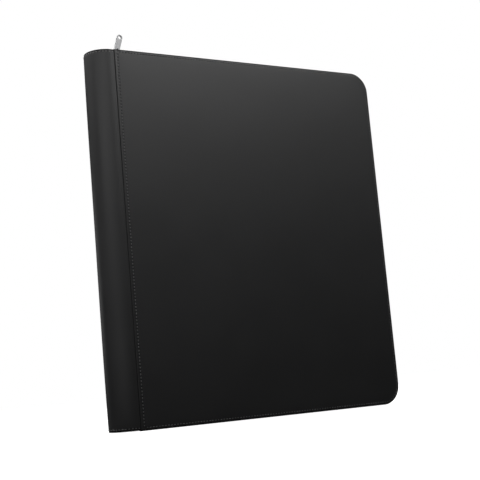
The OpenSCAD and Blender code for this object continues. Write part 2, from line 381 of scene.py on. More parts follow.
def leather_material():
    """Matte black faux leather: fine pebbled grain, faint blotches, slightly polished edges with a painted
    highlight line, and painted shade along the folded edges and in the stitch holes.
    """
    m = Surface("faux_leather", LEATHER_BLACK, 0.5)
    blotch = m.noise(28, 3)
    # two point values: one lowers roughness and paints a highlight line, the other raises roughness, cuts
    # the specular and paints shade
    polish_and_painted_highlight, dull_and_painted_shade = m.attribute("polish_and_painted_highlight"), m.attribute("dull_and_painted_shade")
    # random blotches plus the painted highlight line
    tone = m.maths("ADD", m.remap(blotch, 0.3, 0.7, 0.08, 0.26), polish_and_painted_highlight)
    # painted shade over the folded edges and stitch holes, where the leather is also rougher and less
    # specular
    m.set("Base Color", m.mix(dull_and_painted_shade, m.mix(tone, LEATHER_BLACK, LEATHER_BLOTCH_AND_PAINTED_HIGHLIGHT), LEATHER_PAINTED_SHADE))
    rough = m.maths("SUBTRACT", m.remap(blotch, 0.3, 0.7, 0.388, 0.412), m.maths("MULTIPLY", polish_and_painted_highlight, 0.1))
    m.set("Roughness", m.maths("ADD", rough, m.maths("MULTIPLY", dull_and_painted_shade, 0.1)))
    m.set("Specular IOR Level", m.remap(dull_and_painted_shade, 0, 1, 0.5, 0.03))
    pores = m.maths("MULTIPLY", m.noise(2600, 3, 0.6), 0.5)
    m.bump(m.maths("ADD", m.cells(1300, 0.6), pores), 0.3, 0.06)
    return m.material


def thread_material(name, colour):
    """Thread, darker between its plies."""
    m = Surface(name, colour, 0.45, Specular_IOR_Level=0.9, Sheen_Weight=0.3)
    ply = m.noise(2400)
    m.set("Base Color", m.mix(ply, tuple(c * 0.6 for c in colour), colour))
    m.bump(ply, 0.5, 0.1)
    return m.material


def metal_material(name, colour, roughness, stretch, dullest=0.85):
    """Plated metal with fine brushing, faint smudges and small scratches."""
    m = Surface(name, colour, roughness, Metallic=1.0)
    smudge = m.noise(320, 3)
    uneven = 0.4 * (1 - dullest)
    m.set("Roughness", m.remap(smudge, 0.3, 0.7, roughness - uneven, roughness + uneven))
    dull = tuple(c * dullest for c in colour)
    m.set("Base Color", m.mix(m.remap(smudge, 0.35, 0.65, 0, 1), dull, colour))
    m.bump(m.noise(5000, stretch=stretch), 0.12, 0.02)
    return m.material


def cloth_material():
    """Thin black woven lining with a little slub and sheen."""
    m = Surface("lining_cloth", (0.016, 0.016, 0.017), 0.72, Sheen_Weight=0.25)
    split = m.nodes.new("ShaderNodeSeparateXYZ")
    m.feed(split.inputs[0], m.coords())
    warp, weft = (m.maths("SINE", m.maths("MULTIPLY", split.outputs[axis], 2 * math.pi / WEAVE_PITCH))
                  for axis in "XZ")
    slub = m.noise(160, 4)
    tone = m.remap(slub, 0.35, 0.65, 0, 1)
    m.set("Base Color", m.mix(tone, (0.012, 0.012, 0.013), (0.024, 0.024, 0.026)))
    m.set("Roughness", m.remap(slub, 0.3, 0.7, 0.62, 0.8))
    m.bump(m.maths("ADD", m.maths("MULTIPLY", warp, weft), slub), 0.35, 0.08)
    return m.material


def tape_material():
    """Herringbone zip tape, woven along the tape's own surface coordinates."""
    m = Surface("zip_tape", (0.016, 0.016, 0.017), 0.7, Sheen_Weight=0.3)
    uv = m.nodes.new("ShaderNodeUVMap")
    uv.uv_map = "weave"
    split = m.nodes.new("ShaderNodeSeparateXYZ")
    m.feed(split.inputs[0], uv.outputs["UV"])
    zigzag = m.maths("PINGPONG", split.outputs["Y"], ZIGZAG)
    slant = m.maths("ADD", split.outputs["X"], zigzag)
    twill = m.maths("SINE", m.maths("MULTIPLY", slant, 2 * math.pi / TWILL_PITCH))
    woven = m.maths("ADD", twill, m.noise(900, 3))
    tone = m.remap(woven, -1.0, 2.0, 0, 1)
    m.set("Base Color", m.mix(tone, (0.009, 0.009, 0.01), (0.026, 0.026, 0.027)))
    m.bump(woven, 0.5, 0.08)
    return m.material


def nylon_material():
    """Black nylon of the coil, with streaks along it."""
    m = Surface("coil_nylon", (0.014, 0.014, 0.015), 0.32)
    streak = m.noise(900)
    m.set("Roughness", m.remap(streak, 0.3, 0.7, 0.26, 0.42))
    m.set("Base Color", m.mix(streak, (0.01, 0.01, 0.011), (0.022, 0.022, 0.023)))
    m.bump(streak, 0.15, 0.03)
    return m.material


def foam_material():
    """Grey foam with open bubbles."""
    m = Surface("foam", (0.2, 0.2, 0.21), 0.9)
    m.set("Base Color", m.mix(m.noise(60, 3), (0.14, 0.14, 0.145), (0.26, 0.26, 0.27)))
    m.bump(m.cells(1400), 0.7, 0.3)
    return m.material


def board_material():
    """Grey pulp board with short fibres."""
    m = Surface("grey_board", (0.3, 0.28, 0.24), 0.85)
    fibre = m.noise(900, 4, stretch=(1, 1, 0.25))
    m.set("Base Color", m.mix(fibre, (0.2, 0.185, 0.16), (0.38, 0.36, 0.31)))
    m.bump(fibre, 0.4, 0.1)
    return m.material


def plastic_material(name, colour, roughness):
    """Moulded or calendered black plastic with a fine matte texture and faint scuffs."""
    m = Surface(name, colour, roughness)
    scuff = m.noise(45, 5, 0.65)
    m.set("Roughness", m.remap(scuff, 0.35, 0.65, roughness - 0.07, roughness + 0.08))
    lighter = tuple(c * 1.6 for c in colour)
    m.set("Base Color", m.mix(m.remap(scuff, 0.45, 0.75, 0, 1), colour, lighter))
    m.bump(m.noise(2200), 0.25, 0.05)
    return m.material


def film_material():
    """Clear pocket film: mostly see-through, hazy, milky along its welds, with soft glints."""
    m = Surface("pocket_film", (0.5, 0.5, 0.52), 0.14)
    haze = m.noise(35, 3)
    cloudy = m.remap(haze, 0.3, 0.7, 0.1, 0.2)
    m.set("Alpha", m.maths("ADD", cloudy, m.maths("MULTIPLY", m.attribute("weld"), 0.3)))
    m.set("Roughness", m.remap(haze, 0.3, 0.7, 0.1, 0.2))
    m.bump(haze, 0.3, 0.3)
    m.material.surface_render_method = "BLENDED"
    return m.material


def set_values(obj, name, values):
    """A number at each point of a piece, for its material to read."""
    layer = obj.data.attributes.new(name, "FLOAT", "POINT")
    layer.data.foreach_set("value", np.asarray(values, np.float32))


# ---------------------------------------------------------------- padded covers
# Section across a free edge and across the seam edge, as (inset, depth): the turn-in on the
# inside, round the folded edge, over the rim, through the stitch line and onto the panel.
RIM_SECTION = [(6.0, 5.04), (2.6, 5.1), (1.2, 5.1), (0.45, 4.95), (0.1, 4.5), (0.0, 3.9), (0.0, 3.1),
               (0.0, 2.0), (0.04, 1.2), (0.2, 0.6), (0.6, 0.29), (1.2, 0.17), (2.0, 0.05),
               (2.4, 0.0), (2.8, 0.04), (3.3, 0.0), (3.9, -0.01), (4.8, -0.02), (6.0, -0.04),
               (8.5, -0.07), (12.0, -0.1)]
SEAM_SECTION = [(6.0, 5.04), (2.6, 5.1), (1.2, 5.1), (0.6, 5.0), (0.25, 4.7), (0.1, 4.2), (0.05, 3.2),
                (0.0, 2.0), (0.0, 1.0), (0.02, 0.45), (0.1, 0.18), (0.3, 0.05), (0.9, 0.0),
                (2.5, 0.0), (3.1, 0.04), (3.7, 0.0), (4.6, -0.01), (6.0, -0.02), (7.5, -0.04),
                (9.5, -0.07), (12.0, -0.1)]
STITCH_ROW = 14  # where both sections cross the stitch line
STITCH_DIMPLE = 0.16
STITCH_BED = 0.12  # depth at which the stitches lie
CROWN = 0.2  # how far the middle of a panel stands proud


def along_stitches(line):
    """How far along the row of edge stitches each (x, z) point beside the rim is."""
    straight, r = COVER_W - CORNER_R, CORNER_R - EDGE_STITCH
    x, z = line.T
    low = np.minimum(z, COVER_H - z)
    turn = np.arctan2(np.maximum(x - straight, 0), np.maximum(CORNER_R - low, 1e-6))
    part = np.minimum(x, straight) + r * turn * (x > straight) + np.maximum(low - CORNER_R, 0)
    total = 2 * straight + math.pi * r + COVER_H - 2 * CORNER_R
    return np.where(z < COVER_H / 2, part, total - part)


def fold_dull_and_shade(rim_inset, rim_count, seam_inset, seam_count):
    """How dull the folded edge is, with painted shade, at points of a ring: it fades out just over a
    millimetre in.
    """
    shares = [1 - smooth_step((i - 0.9) / 0.5) for i in (rim_inset, seam_inset + 1.2)]
    return np.concatenate([np.full(rim_count, shares[0]), np.full(seam_count, shares[1])])


def cover_ring(k):
    """One ring round a cover: its (x, z) points, their depth, how polished they are with a painted
    highlight, and how dull they are with painted shade.
    """
    (ru, rd), (su, sd) = RIM_SECTION[k], SEAM_SECTION[k]
    rim, seam = rim_line(ru, start=su), seam_line(su, ru)
    from_seam = rim[:, 0] + np.maximum(0, np.minimum(rim[:, 1], COVER_H - rim[:, 1]) - CORNER_R)
    near = 0.5 * (1 - smooth_step(from_seam / 8))
    rim_depth = rd * (1 - near) + sd * near
    near = 0.5 * (1 - smooth_step(np.minimum(COVER_H - seam[:, 1], seam[:, 1]) / 8))
    seam_depth = sd * (1 - near) + rd * near
    rim_holes = 0.5 - 0.5 * np.cos(2 * math.pi * along_stitches(rim) / STITCH_PITCH)
    seam_holes = 0.5 + 0.5 * np.cos(2 * math.pi * seam[:, 1] / STITCH_PITCH)
    holes = np.concatenate([rim_holes, seam_holes])
    pull = STITCH_DIMPLE * max(0, 1 - abs(k - STITCH_ROW) / 2.0)
    depth = np.concatenate([rim_depth, seam_depth]) + pull * holes
    # polish and a painted highlight line about 2 mm in from the edge
    polish_and_painted_highlight = np.full(len(depth), 0.8 * math.exp(-((ru - 2.0) / 0.5) ** 2))
    # painted shade in the stitch holes
    hole_painted_shade = np.clip(2 * holes - 1, 0, 1) * max(0, 1 - 0.6 * abs(k - STITCH_ROW))
    # painted shade and dullness along the folded edge and in the stitch holes
    dull = np.maximum(fold_dull_and_shade(ru, len(rim), su, len(seam)) * (k > 4), hole_painted_shade)
    return np.vstack([rim, seam]), depth, polish_and_painted_highlight, dull


def cover_skin(side, body, name, nodes_replaced):
    """The padded faux-leather panel with folded edges and puckered stitch lines."""
    rings, depths, polish_and_painted_highlight, dull = zip(*[cover_ring(k) for k in range(len(RIM_SECTION))])
    count = len(rings[0])
    shell = np.vstack([np.insert(r, 1, d, axis=1) for r, d in zip(rings, depths)])
    faces = [list(f) for f in grid_faces(len(rings), count, wrap_cols=True)]
    panel, triangles = fill_outline(rings[-1], 7.0)
    last = (len(rings) - 1) * count
    inner = panel[count:]
    edge_gap = np.minimum.reduce([inner[:, 0], COVER_W - inner[:, 0], inner[:, 1],
                                  COVER_H - inner[:, 1]]) - RIM_SECTION[-1][0]
    crown = 0.1 + CROWN * (1 - np.exp(-edge_gap / 35)) + swell(*inner.T) * smooth_step(edge_gap / 40)
    points = np.vstack([shell, np.insert(inner, 1, -crown, axis=1)])
    faces += [[last + i if i < count else i - count + len(shell) for i in t] for t in triangles]
    obj = make_piece(name, to_frame(points, side), faces, leather, body, side)
    # point values for the material: polish with a painted highlight, and dullness with painted shade
    for layer, values in (("polish_and_painted_highlight", polish_and_painted_highlight), ("dull_and_painted_shade", dull)):
        set_values(obj, layer, np.concatenate([*values, np.zeros(len(inner))]))
    thicken(obj, LEATHER_T)
    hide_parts(*nodes_replaced)
    return obj


def stitch_template(length=1.6, radius=0.33, rise=0.14, sink=0.7):
    """One stitch: up out of its hole, over the surface and down into the next."""
    t = np.linspace(-1, 1, 9)
    up = rise * (1 - t ** 2) - sink * np.clip(np.abs(t) * 2 - 1, 0, 1) ** 2
    return tube_template(np.column_stack([t * length / 2, up]), radius)


def stitches(name, line, first, last, depth, side, body, outward=1):
    """A row of stitches between two lengths along an (x, z) line, at a depth in a cover."""
    middles = np.arange(first + STITCH_PITCH / 2, last, STITCH_PITCH)
    point, tangent = at_lengths(line, middles)
    origins, along = np.insert(point, 1, depth, axis=1), np.insert(tangent, 1, 0, axis=1)
    up = np.tile((0.0, -outward, 0.0), (len(middles), 1))
    points, faces = place_many(stitch_template(), origins, along, up, np.cross(along, up))
    obj = make_piece(name, to_frame(points, side), faces, thread, body, side)
    return obj


def cover_lining(side, body, name, node):
    """Woven cloth over the inside of a cover, its edges under the zip tape and the hinge strip."""
    x0, x1, z0, z1 = 1.5, COVER_W - LINING_INSET, LINING_INSET, COVER_H - LINING_INSET
    r = CORNER_R - LINING_INSET
    step = 8.0
    corner = np.linspace(-math.pi / 2, 0, 13)
    low = np.column_stack([x1 - r + r * np.cos(corner), z0 + r + r * np.sin(corner)])
    high = np.column_stack([low[::-1, 0], COVER_H - low[::-1, 1]])
    sides = [[x0, z] for z in np.arange(z1, z0, -step)]
    ends = [[x, z0] for x in np.arange(x0, x1 - r, step)]
    tops = [[x, z1] for x in np.arange(x1 - r, x0, -step)][1:-1]
    free = [[x1, z] for z in np.arange(z0 + r, z1 - r, step)][1:]
    outline = np.vstack([ends, low, free, high, tops, sides])
    points, triangles = fill_outline(outline, step)
    x, z = points.T
    edge = np.minimum.reduce([x - x0, x1 - x, z - z0, z1 - z])
    sag = 0.8 * swell(x * 1.7, z * 1.3) * smooth_step(edge / 25)
    depth = LINING_DEPTH + 0.12 * smooth_step(edge / 3) + sag
    flipped = triangles[:, ::-1]
    obj = make_piece(name, to_frame(np.column_stack([x, depth, z]), side), flipped, cloth, body, side)
    thicken(obj, CLOTH_T)
    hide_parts(node)
    return obj


# ---------------------------------------------------------------- spine
def spine_line(offset, step=LINE_STEP, start=SPINE_GAP):
    """(x, y) points round the spine, offset inward from its outer face, in mm about y = 0."""
    r = SPINE_R - offset
    n_flat = max(2, int(round((-start - ARC_X) / step)))
    n_arc = int(round(math.pi * SPINE_R / step))
    x = np.linspace(-start, ARC_X, n_flat, endpoint=False)
    a = np.linspace(-math.pi / 2, -3 * math.pi / 2, n_arc + 1)
    arc = np.column_stack([ARC_X + r * np.cos(a), r * np.sin(a)])
    return np.vstack([np.column_stack([x, np.full(n_flat, -r)]), arc,
                      np.column_stack([x[::-1], np.full(n_flat, r)])])


def spine_inward(line):
    """Unit vectors from points on the spine's section towards its middle."""
    inward = -np.column_stack([np.minimum(line[:, 0] - ARC_X, 0), line[:, 1]])
    return inward / np.linalg.norm(inward, axis=1)[:, None]


def spine_to_frame(points):
    points = np.asarray(points, float).reshape(-1, 3)
    return np.column_stack([SEAM + points[:, 0] * MM, points[:, 1] * MM, points[:, 2] * MM])


def spine_row(offset, z):
    """One row of the spine's leather: its points, how polished they are with a painted highlight, and how
    dull they are with painted shade.
    """
    low, high = SPINE_HEMS
    s = length_along(spine_line(0.0))
    share = s / s[-1]
    line = spine_line(offset)
    end = min(z - low, high - z)
    pull = STITCH_DIMPLE * max(0, 1 - abs(end - HEM_STITCH)) if offset < 1 else 0
    wave = 0.06 * np.sin(z / 47 + 5 * share) * np.sin(math.pi * share)
    from_middle = abs(2 * (z - low) / (high - low) - 1)
    bulge = SPINE_BULGE * (1 - from_middle ** 4) * np.sin(math.pi * share) ** 2
    bulge = bulge + SPINE_LIP * np.cos(math.pi * share) ** 4
    holes = 0.5 + 0.5 * np.cos(2 * math.pi * s / STITCH_PITCH)
    shift = pull * holes + wave * smooth_step((end - 6) / 40) - bulge
    place = line + spine_inward(line) * shift[:, None]
    # polish and a painted highlight line just inside each hem
    polish_and_painted_highlight = np.full(len(line), 1.2 * math.exp(-((end - 1.8) / 0.5) ** 2) * (offset < 1))
    # painted shade in the stitch holes
    hole_painted_shade = np.clip(2 * holes - 1, 0, 1) * max(0, 1 - abs(end - HEM_STITCH) / 0.6)
    # painted shade and dullness along the folded ends and in the stitch holes
    dull = np.maximum(1 - smooth_step((end - 0.9) / 0.5), hole_painted_shade * (offset < 1))
    return np.insert(place, 2, z, axis=1), polish_and_painted_highlight, dull


def spine_wrap():
    """The wrap-round faux leather of the spine, hemmed over the board at its two ends."""
    inside = SPINE_WALL + 0.12
    hem = [(inside, 12.0), (inside - 0.02, 6.0), (inside - 0.05, 1.0), (3.05, 0.3), (2.8, 0.04),
           (2.2, 0.0), (1.2, 0.0), (0.7, 0.0), (0.42, 0.04), (0.27, 0.2), (0.22, 0.6), (0.2, 1.1),
           (0.05, 1.8), (0.04, HEM_STITCH)] + [(0.0, d) for d in (2.7, 3.3, 4.2, 5.0, 7.0, 10.0)]
    low, high = SPINE_HEMS
    section = [(o, high - d) for o, d in hem]
    section += [(0.0, z) for z in np.linspace(high - 14, low + 14, 54)]
    section += [(o, low + d) for o, d in hem[::-1]]
    rows, polish_and_painted_highlight, dull = zip(*[spine_row(offset, z) for offset, z in section])
    faces = grid_faces(len(rows), len(rows[0]))
    obj = make_piece("spine_wrap", spine_to_frame(np.vstack(rows)), faces, leather, "spine")
    # polish with a painted highlight, then dullness with painted shade
    set_values(obj, "polish_and_painted_highlight", np.concatenate(polish_and_painted_highlight))
    set_values(obj, "dull_and_painted_shade", np.concatenate(dull))
    thicken(obj, LEATHER_T)
    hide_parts("spine_skin")


def spine_hem_stitches():
    line = spine_line(STITCH_BED)
    middles = (np.arange(int(length_along(line)[-1] / STITCH_PITCH)) + 0.5) * STITCH_PITCH
    point, tangent = at_lengths(line, middles)
    along = np.insert(tangent, 2, 0, axis=1)
    up = np.insert(-spine_inward(point), 2, 0, axis=1)
    ends = (SPINE_HEMS[0] + HEM_STITCH, SPINE_HEMS[1] - HEM_STITCH)
    points, faces = merge([place_many(stitch_template(), np.insert(point, 2, z, axis=1), along, up,
                                      np.cross(along, up)) for z in ends])
    obj = make_piece("spine_hem_stitches", spine_to_frame(points), faces, thread, "spine")
    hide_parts("spine_hem_thread")


def spine_lining():
    """Woven cloth round the inside of the spine."""
    line = spine_line(SPINE_WALL - CLOTH_T, step=1.5, start=0.6)
    height = np.linspace(SPINE_Z0 + 4, SPINE_Z1 - 4, 60)
    rows = []
    for k, z in enumerate(height):
        wave = 0.05 * np.sin(z / 19 + length_along(line) / 11)
        place = line - spine_inward(line) * wave[:, None] * (0 < k < len(height) - 1)
        rows.append(np.insert(place, 2, z, axis=1))
    obj = make_piece("spine_lining_cloth", spine_to_frame(np.vstack(rows)),
                     grid_faces(len(rows), len(line)), cloth, "spine")
    thicken(obj, -CLOTH_T)
    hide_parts("spine_lining")


# ---------------------------------------------------------------- hinge strips
HINGE_PATH = [(-7.0, 14.35), (-5.6, 14.7), (-4.2, 14.9), (-3.0, 14.98), (-2.0, 14.95), (-1.2, 14.75),
              (-0.5, 14.35), (0.2, 13.95), (1.0, 13.7), (2.2, 13.62), (4.0, 13.6), (6.5, 13.62),
              (8.5, 13.66), (10.5, 13.72), (11.0, 13.85)]


def hinge_strip(side, cover):
    """The inner cloth strip that joins a cover to the spine."""
    path = np.array(HINGE_PATH)
    fine = np.linspace(0, length_along(path)[-1], 40)
    path = at_lengths(path, fine)[0]
    height = np.linspace(11.5, COVER_H - 11.5, 110)
    rows = []
    for z in height:
        ripple = 0.05 * np.sin(z / 9 + path[:, 0] / 2)
        rows.append(np.column_stack([path[:, 0], HALF_T / MM - path[:, 1] + ripple, 0 * ripple + z]))
    points = to_frame(np.vstack(rows), side)
    obj = make_piece(f"{cover[:-6]}_hinge_strip", points, grid_faces(len(rows), len(path)), cloth,
                     None, side)
    thicken(obj, CLOTH_T)
    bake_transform(obj)


# ---------------------------------------------------------------- zip
def ribbon_section(centre, half):
    """A closed section, as (inset, depth) points, of a ribbon along a centre line."""
    centre = np.asarray(centre, float)
    step, normal = directions(centre)
    first, last = centre[0] - step[0] * half * 0.6, centre[-1] + step[-1] * half * 0.6
    return np.vstack([centre + normal * half, [last], (centre - normal * half)[::-1], [first]])


def zip_tape(side, body, name, node):
    """The woven tape: a flange sewn inside the cover and a wall that carries the teeth."""
    turn = np.linspace(0, math.pi / 2, 6)
    u0, bed, bend, top = TAPE_INSET + 0.35, 5.32, 1.1, 16.5
    centre = [(u, bed) for u in (8.9, 7.6, 6.2, 5.0)]
    centre += [(u0 + bend - bend * math.sin(t), bed + bend - bend * math.cos(t)) for t in turn]
    centre += [(u0, d) for d in np.linspace(7.6, top, 8)]
    section = ribbon_section(centre, 0.27)
    rest = rim_line(u0, start=TAPE_START, step=1.5)
    s = length_along(rest)
    rows = []
    for u, d in section:
        line = rim_line(u, start=TAPE_START, step=1.5)
        bow = math.sin(math.pi * min(1, max(0, (d - 6) / (top - 6))))
        ripple = bow * (0.16 + 0.1 * np.sin(s / 7.3) + 0.07 * np.sin(s / 3.1 + 1))
        middle = np.array([COVER_W / 2, COVER_H / 2])
        inward = middle - line
        inward[:, 0] = np.where(np.abs(inward[:, 0]) < COVER_W / 2 - CORNER_R, 0, inward[:, 0])
        inward /= np.linalg.norm(inward, axis=1)[:, None]
        ripple = ripple * smooth_step(s / TAPE_EASE) * smooth_step((s[-1] - s) / TAPE_EASE)
        line = line + inward * ripple[:, None]
        rows.append(np.insert(line, 1, d, axis=1))
    faces = [f[::-1] for f in ribbon_faces(len(rows), len(s))]
    obj = make_piece(name, to_frame(np.vstack(rows), side), faces, tape, body, side)
    add_uv(obj, np.tile(s, len(rows)) * MM, np.repeat(ribbon_width(section, len(centre)), len(s)) * MM)
    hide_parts(node)


def ribbon_width(section, half_count):
    """How far across the ribbon each point of its closed section is."""
    across = length_along(section[:half_count])
    return np.concatenate([across, [across[-1] + 0.2], across[::-1], [-0.2]])


def add_uv(obj, u, v):
    """Surface coordinates in metres, for the weave."""
    layer = obj.data.uv_layers.new(name="weave")
    index = np.empty(len(obj.data.loops), np.int32)
    obj.data.loops.foreach_get("vertex_index", index)
    layer.data.foreach_set("uv", np.column_stack([u[index], v[index]]).astype(np.float32).ravel())


def zip_coil(side, body, name, node):
    """One row of coil teeth: a hairpin loop of nylon every pitch, hooked over the middle."""
    loop = [(-3.15, 0.72), (-1.6, 0.84), (-0.5, 0.88), (0.1, 0.62), (0.28, 0.0), (0.1, -0.62),
            (-0.5, -0.88), (-1.6, -0.84), (-3.15, -0.72)]
    template = tube_template(loop, 0.4, across=np.linspace(-0.35, 0.35, len(loop)))
    line = rim_line(CHAIN_MID, start=TAPE_START)
    total = length_along(line)[-1]
    shift = 0.0 if side == FRONT else TEETH_PITCH / 2
    s = np.arange(2.4 + shift, total - 2.0, TEETH_PITCH)
    point, tangent = at_lengths(line, s)
    origins, across = np.insert(point, 1, HALF_T / MM, axis=1), np.insert(tangent, 1, 0, axis=1)
    along = np.tile((0.0, 1.0, 0.0), (len(s), 1))
    up = np.cross(across, along)
    points, faces = place_many(template, origins, along, up, across)
    obj = make_piece(name, to_frame(points, side), faces, nylon, body, side)
    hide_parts(node)


def zip_end_tab(name, z):
    """The faux-leather tab that the zip's ends are sewn under, at one end of the spine."""
    half_w, r, x0, x1 = 6.0, 2.5, -12.0, 1.8
    corner = np.linspace(0, math.pi / 2, 7)
    section = [(0.9, -0.6), (0.35, -0.5), (0.08, -0.25), (0.0, 0.0), (0.08, 0.25), (0.35, 0.5), (0.9, 0.6),
               (1.5, 0.56), (1.9, 0.42), (2.3, 0.56), (3.0, 0.62)]
    rows = []
    for inset, up in section:
        q = max(r - inset, 0.3)
        centres = [(x1 - inset - q, half_w - inset - q, 0), (x0 + inset + q, half_w - inset - q, 1),
                   (x0 + inset + q, -half_w + inset + q, 2), (x1 - inset - q, -half_w + inset + q, 3)]
        ring = [(cx + q * math.cos(t + k * math.pi / 2), cy + q * math.sin(t + k * math.pi / 2), z + up)
                for cx, cy, k in centres for t in corner]
        rows.append(np.array(ring))
    faces = stack_faces(len(rows), len(rows[0]))
    obj = make_piece(f"{name}_leather", spine_to_frame(np.vstack(rows)), faces, leather, "spine")
    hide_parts(name)
    box = np.array([(x1 - 1.9, 4.1), (x0 + 1.9, 4.1), (x0 + 1.9, -4.1), (x1 - 1.9, -4.1), (x1 - 1.9, 4.1)])
    s = np.arange(1.2, length_along(box)[-1] - 0.5, 2.4)
    point, tangent = at_lengths(box, s)
    along, up = np.insert(tangent, 2, 0, axis=1), np.tile((0.0, 0.0, 1.0), (len(s), 1))
    origins = np.insert(point, 2, z + 0.45, axis=1)
    p, f = place_many(stitch_template(2.0, 0.2, 0.1, 0.3), origins, along, up, np.cross(along, up))
    row = make_piece(f"{name}_stitches", spine_to_frame(p), f, thread, "spine")


# ---------------------------------------------------------------- slider and pull
def inset_outline(outline, inset):
    """A closed outline moved inward along its own normals; the outline runs anticlockwise."""
    ahead, behind = np.roll(outline, -1, 0), np.roll(outline, 1, 0)
    step = ahead - behind
    step /= np.linalg.norm(step, axis=1)[:, None]
    return outline + np.column_stack([-step[:, 1], step[:, 0]]) * inset


def bevelled_plate(outline, z0, z1, edge):
    """Rings of a flat plate with rounded edges; returns (points, faces)."""
    steps = [(edge, 0.0), (edge * 0.3, edge * 0.3), (0.0, edge)]
    rings = [(i, z0 + h) for i, h in steps] + [(i, z1 - h) for i, h in steps[::-1]]
    count = len(outline)
    points = np.vstack([np.insert(inset_outline(outline, i), 2, z, axis=1) for i, z in rings])
    return points, stack_faces(len(rings), count)


def rounded_polygon(corners, radius, steps=5):
    """A closed anticlockwise outline with every corner rounded."""
    corners = np.asarray(corners, float)
    out = []
    for k, c in enumerate(corners):
        a = corners[k - 1] - c
        b = corners[(k + 1) % len(corners)] - c
        a, la = a / np.linalg.norm(a), np.linalg.norm(a)
        b, lb = b / np.linalg.norm(b), np.linalg.norm(b)
        cut = min(radius, la * 0.45, lb * 0.45)
        for t in np.linspace(0, 1, steps):
            out.append(c + a * cut * (1 - t) ** 2 + b * cut * t ** 2)
    return np.array(out)


def slider():
    """Two shield-shaped plates, wide where the two rows part, joined by a narrow post."""
    long = (slider_hi.x - slider_lo.x) / MM / 2
    wide = (slider_hi.y - slider_lo.y) / MM / 2
    low, high = slider_lo.z / MM, slider_hi.z / MM
    middle_x = (slider_lo.x + slider_hi.x) / 2
    shield = [(-long, -wide * 0.78), (-long * 0.55, -wide), (long * 0.2, -wide), (long, -wide * 0.72),
              (long, wide * 0.72), (long * 0.2, wide), (-long * 0.55, wide), (-long, wide * 0.78),
              (-long * 0.82, wide * 0.2), (-long * 0.82, -wide * 0.2)]
    outline = rounded_polygon(shield, 1.3)
    parts = [bevelled_plate(outline, low, low + 1.2, 0.28), bevelled_plate(outline, high - 1.2, high, 0.28)]
    post = rounded_polygon([(-2.2, 0), (-0.6, -0.4), (1.5, -0.3), (1.5, 0.3), (-0.6, 0.4)], 0.5)
    parts.append(bevelled_plate(post, low + 1.1, high - 1.1, 0.02))
    lip = rounded_polygon([(-long * 0.5, wide - 0.55), (long * 0.3, wide - 0.55), (long * 0.3, wide - 0.03),
                           (-long * 0.5, wide - 0.03)], 0.2)
    parts.append(bevelled_plate(lip, low + 1.1, low + 1.9, 0.1))
    parts.append(bevelled_plate(lip, high - 1.9, high - 1.1, 0.1))
    points, faces = merge(parts)
    points = points * MM + np.array([middle_x, 0, 0])
    obj = make_piece("zip_slider", points, faces, nickel, "slider")
    obj.data.set_sharp_from_angle(angle=math.radians(50))
    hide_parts("slider_body")


def bail():
    """The low arch on the slider that the link hangs from."""
    foot, top = bail_lo.z / MM - 0.3, bail_hi.z / MM
    half = (bail_hi.x - bail_lo.x) / MM / 2
    middle_x = (bail_lo.x + bail_hi.x) / 2 / MM
    leg, bend = half - 0.5, 1.3
    path = [(-leg, foot), (-leg, foot + 1.2)]
    path += [(-leg + bend - bend * math.cos(t), top - 1.75 + bend * math.sin(t))
             for t in np.linspace(0, math.pi / 2, 6)]
    path += [(-x, z) for x, z in path[::-1]]
    path = np.array(path)
    normal = directions(path)[1]
    ring = [(0.45, 0.5), (0.45, -0.5), (0.25, -0.78), (-0.25, -0.78), (-0.45, -0.5), (-0.45, 0.5),
            (-0.25, 0.78), (0.25, 0.78)]
    points = np.vstack([np.insert(path + normal * a, 1, b, axis=1) for a, b in ring])
    points = points * MM + np.array([middle_x * MM, 0, 0])
    obj = make_piece("slider_arch", points, ribbon_faces(len(ring), len(path)), nickel, "slider")
    soften(obj, 0.12, 2, 30)
    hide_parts("slider_bail")


def place_of(kind, name):
    """Where the record puts a joint or a mount, in metres."""
    return next(np.array(item["pos_m"]) for item in kind if item["name"] == name)


def pull_axes():
    """Origin at the link's lower bar, then the pull's own axes: its length, and its face."""
    joints = frame["record"]["behaviour"]["joints"]
    low, eye = place_of(joints, "pull_link_swing"), place_of(joints, "pull_tab_swing")
    up = (eye - low) / np.linalg.norm(eye - low)
    across = np.array([0.0, 1.0, 0.0])
    return low, eye, up, across, np.cross(across, up)


def pull_link():
    """A rounded oblong ring of wire between the slider's arch and the pull."""
    low, eye, up, across, face = pull_axes()
    long = np.linalg.norm(eye - low) / MM
    half, bend, radius = 2.3, 1.0, 0.6
    turn = np.linspace(0, math.pi / 2, 7)
    centres = [(half - bend, long - bend, 0), (-half + bend, long - bend, 1), (-half + bend, bend, 2),
               (half - bend, bend, 3)]
    path = np.array([(cx + bend * math.cos(t + k * math.pi / 2), cz + bend * math.sin(t + k * math.pi / 2))
                     for cx, cz, k in centres for t in turn])
    out = -inset_outline(path, 1.0) + path
    a = np.arange(12) * math.pi / 6
    flat = path[:, None] + radius * np.cos(a)[None, :, None] * out[:, None]
    deep = np.broadcast_to(radius * np.sin(a), flat.shape[:2])
    points = (low + flat[..., :1] * MM * across + flat[..., 1:] * MM * up + deep[..., None] * MM * face)
    obj = make_piece("pull_ring", points.reshape(-1, 3), grid_faces(len(path), 12, True, True), nickel,
                     "pull_link")
    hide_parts("pull_link")


